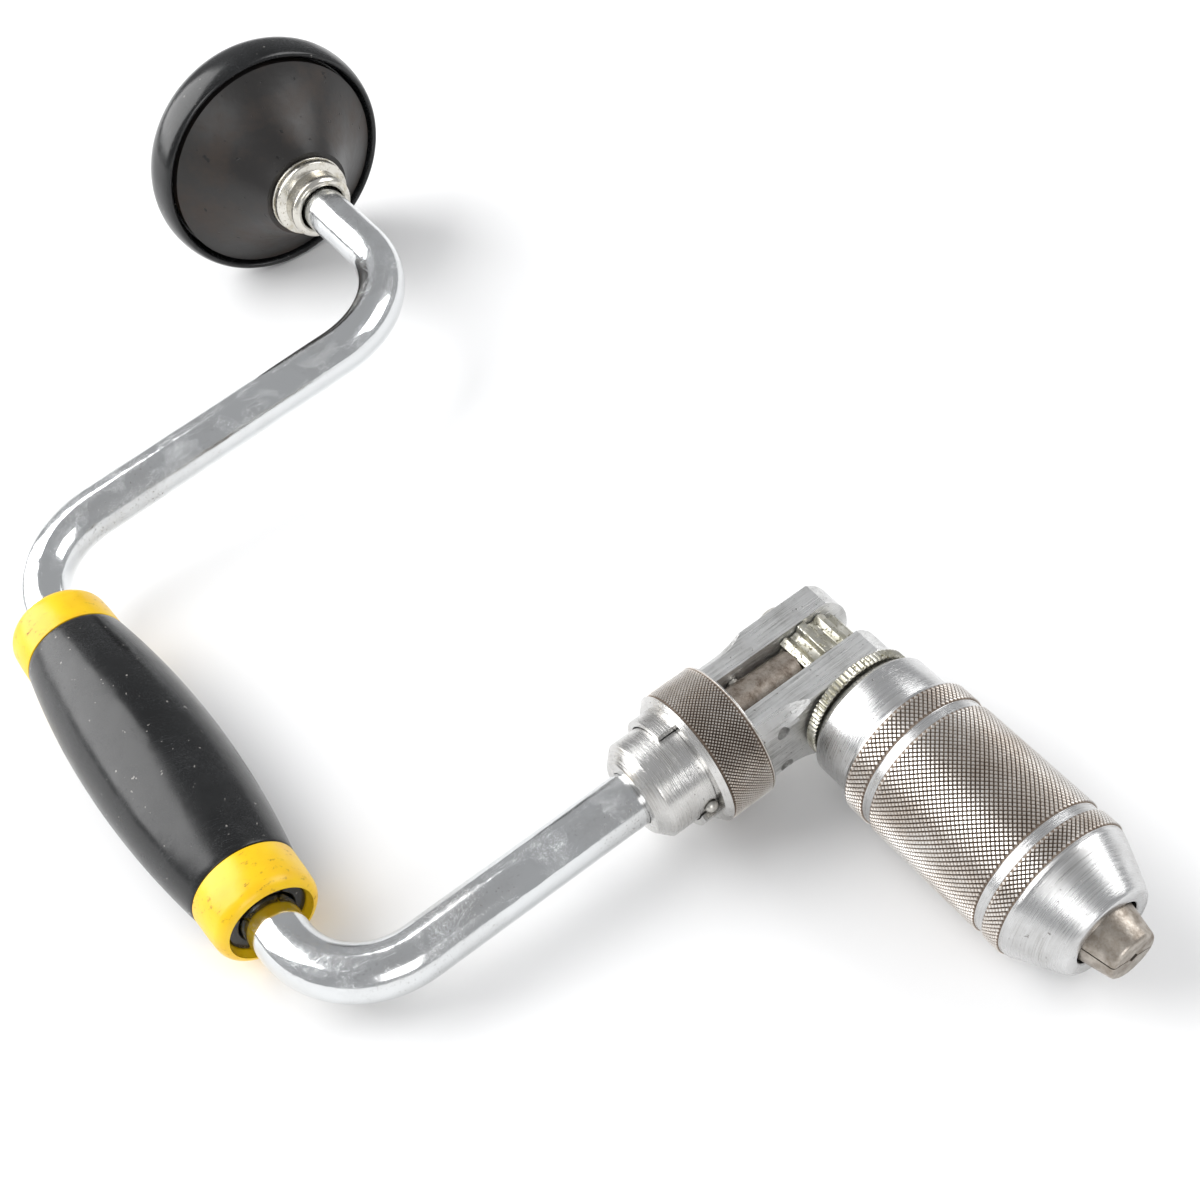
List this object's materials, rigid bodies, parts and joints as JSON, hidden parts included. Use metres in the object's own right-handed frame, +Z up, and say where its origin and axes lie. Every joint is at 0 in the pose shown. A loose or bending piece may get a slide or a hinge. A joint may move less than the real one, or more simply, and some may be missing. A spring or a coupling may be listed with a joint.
{
  "type": "ratchet bit brace",
  "caption": "Hand-cranked bit brace: cranked steel bow, free-turning mushroom head and grip, ratchet with a selector ring, and a split-jaw screw chuck.",
  "frame": {"origin": "centre of the bounding box at the ground that the tool lies on", "axes": "+Z up; +X along the main axis towards the bit, seen from above; +Y from the hand grip towards the main axis"},
  "size_m": [0.3578, 0.1782, 0.0709],
  "materials": {
    "plated_bar": "worn polished plating",
    "nickel_collar": "polished, slightly yellowed",
    "satin_steel": "satin machined",
    "knurled_steel": "knurled, with brown grime in the cuts",
    "jaw_steel": "dull hardened, browned",
    "hardened_steel": "ground",
    "yellow_zinc": "yellow passivated zinc",
    "bronze": "plain machined",
    "black_plastic": "glossy with fine scratches",
    "charcoal_plastic": "satin, scuffed",
    "yellow_plastic": "satin gloss, soiled"
  },
  "bodies": {
    "frame": {"sweep": "plated_bar", "ratchet_yoke": "satin_steel", "selector_stop_pin": "hardened_steel", "pawl_pin_upper": "hardened_steel", "pawl_pin_lower": "hardened_steel", "pawl_spring": "hardened_steel", "head_race_upper": "hardened_steel", "head_nut": "satin_steel"},
    "head": {"head_dome": "black_plastic", "head_underside": "charcoal_plastic", "head_collar": "nickel_collar", "head_washer": "nickel_collar", "head_collar_nut": "satin_steel", "head_race_lower": "hardened_steel"},
    "head_bearing_cage": {"head_ball_cage": "bronze"},
    "grip": {"grip_core": "black_plastic", "grip_barrel": "black_plastic", "grip_ring_lower": "yellow_plastic", "grip_ring_upper": "yellow_plastic"},
    "selector": {"selector_ring": "knurled_steel"},
    "upper_pawl": {"pawl_upper": "jaw_steel"},
    "lower_pawl": {"pawl_lower": "jaw_steel"},
    "chuck": {"chuck_body": "satin_steel", "ratchet_wheel": "yellow_zinc", "thrust_collar": "yellow_zinc", "spindle_washer": "hardened_steel", "spindle_screw": "hardened_steel", "jaw_spring_near": "hardened_steel", "jaw_spring_far": "hardened_steel"},
    "cone": {"jaw_cone": "hardened_steel", "cone_washer": "bronze"},
    "shell": {"chuck_shell": "knurled_steel"},
    "upper_jaw": {"jaw_upper": "jaw_steel"},
    "lower_jaw": {"jaw_lower": "jaw_steel"}
  },
  "joints": [
    {"name": "head_spin", "type": "hinge", "parent": "frame", "child": "head", "pos_m": [0.08564, 0.0536, 0.02157], "axis": [0.9984, 0, -0.0563], "continuous": true},
    {"name": "head_cage_spin", "type": "hinge", "parent": "frame", "child": "head_bearing_cage", "pos_m": [0.08564, 0.0536, 0.02157], "axis": [0.9984, 0, -0.0563], "continuous": true},
    {"name": "grip_spin", "type": "hinge", "parent": "frame", "child": "grip", "pos_m": [0.00667, -0.07304, 0.01639], "axis": [0.9984, 0, -0.0563], "continuous": true},
    {"name": "selector_turn", "type": "hinge", "parent": "frame", "child": "selector", "pos_m": [0.08564, 0.0536, 0.02157], "axis": [0.0043, 0.9971, 0.0756], "range_deg": [0, 90]},
    {"name": "pawl_upper_tilt", "type": "hinge", "parent": "frame", "child": "upper_pawl", "pos_m": [0.08591, 0.03378, 0.02628], "axis": [0.9984, 0, -0.0563], "range_deg": [0, 8]},
    {"name": "pawl_lower_tilt", "type": "hinge", "parent": "frame", "child": "lower_pawl", "pos_m": [0.08521, 0.03472, 0.01393], "axis": [0.9984, 0, -0.0563], "range_deg": [0, 8]},
    {"name": "chuck_spin", "type": "hinge", "parent": "frame", "child": "chuck", "pos_m": [0.08564, 0.0536, 0.02157], "axis": [0.9984, 0, -0.0563], "continuous": true},
    {"name": "shell_advance", "type": "slide", "parent": "chuck", "child": "cone", "axis": [0.9984, 0, -0.0563], "range_m": [0, 0.008]},
    {"name": "shell_turn", "type": "hinge", "parent": "cone", "child": "shell", "pos_m": [0.08564, 0.0536, 0.02157], "axis": [0.9984, 0, -0.0563], "range_deg": [0, 1440]},
    {"name": "jaw_upper_slide", "type": "slide", "parent": "chuck", "child": "upper_jaw", "axis": [0.0544, 0.2531, 0.9659], "range_m": [0, 0.0015]},
    {"name": "jaw_lower_slide", "type": "slide", "parent": "chuck", "child": "lower_jaw", "axis": [-0.0544, -0.2531, -0.9659], "range_m": [0, 0.0015]}
  ],
  "couplings": [
    {"joint": "head_cage_spin", "follows": "head_spin", "ratio": 0.5},
    {"joint": "pawl_upper_tilt", "follows": "selector_turn", "ratio": 0.0888},
    {"joint": "pawl_lower_tilt", "follows": "selector_turn", "ratio": 0.0888},
    {"joint": "shell_turn", "follows": "shell_advance", "rad_per_m": 3141.3},
    {"joint": "jaw_upper_slide", "follows": "shell_advance", "ratio": 0.18748},
    {"joint": "jaw_lower_slide", "follows": "shell_advance", "ratio": 0.18748}
  ]
}
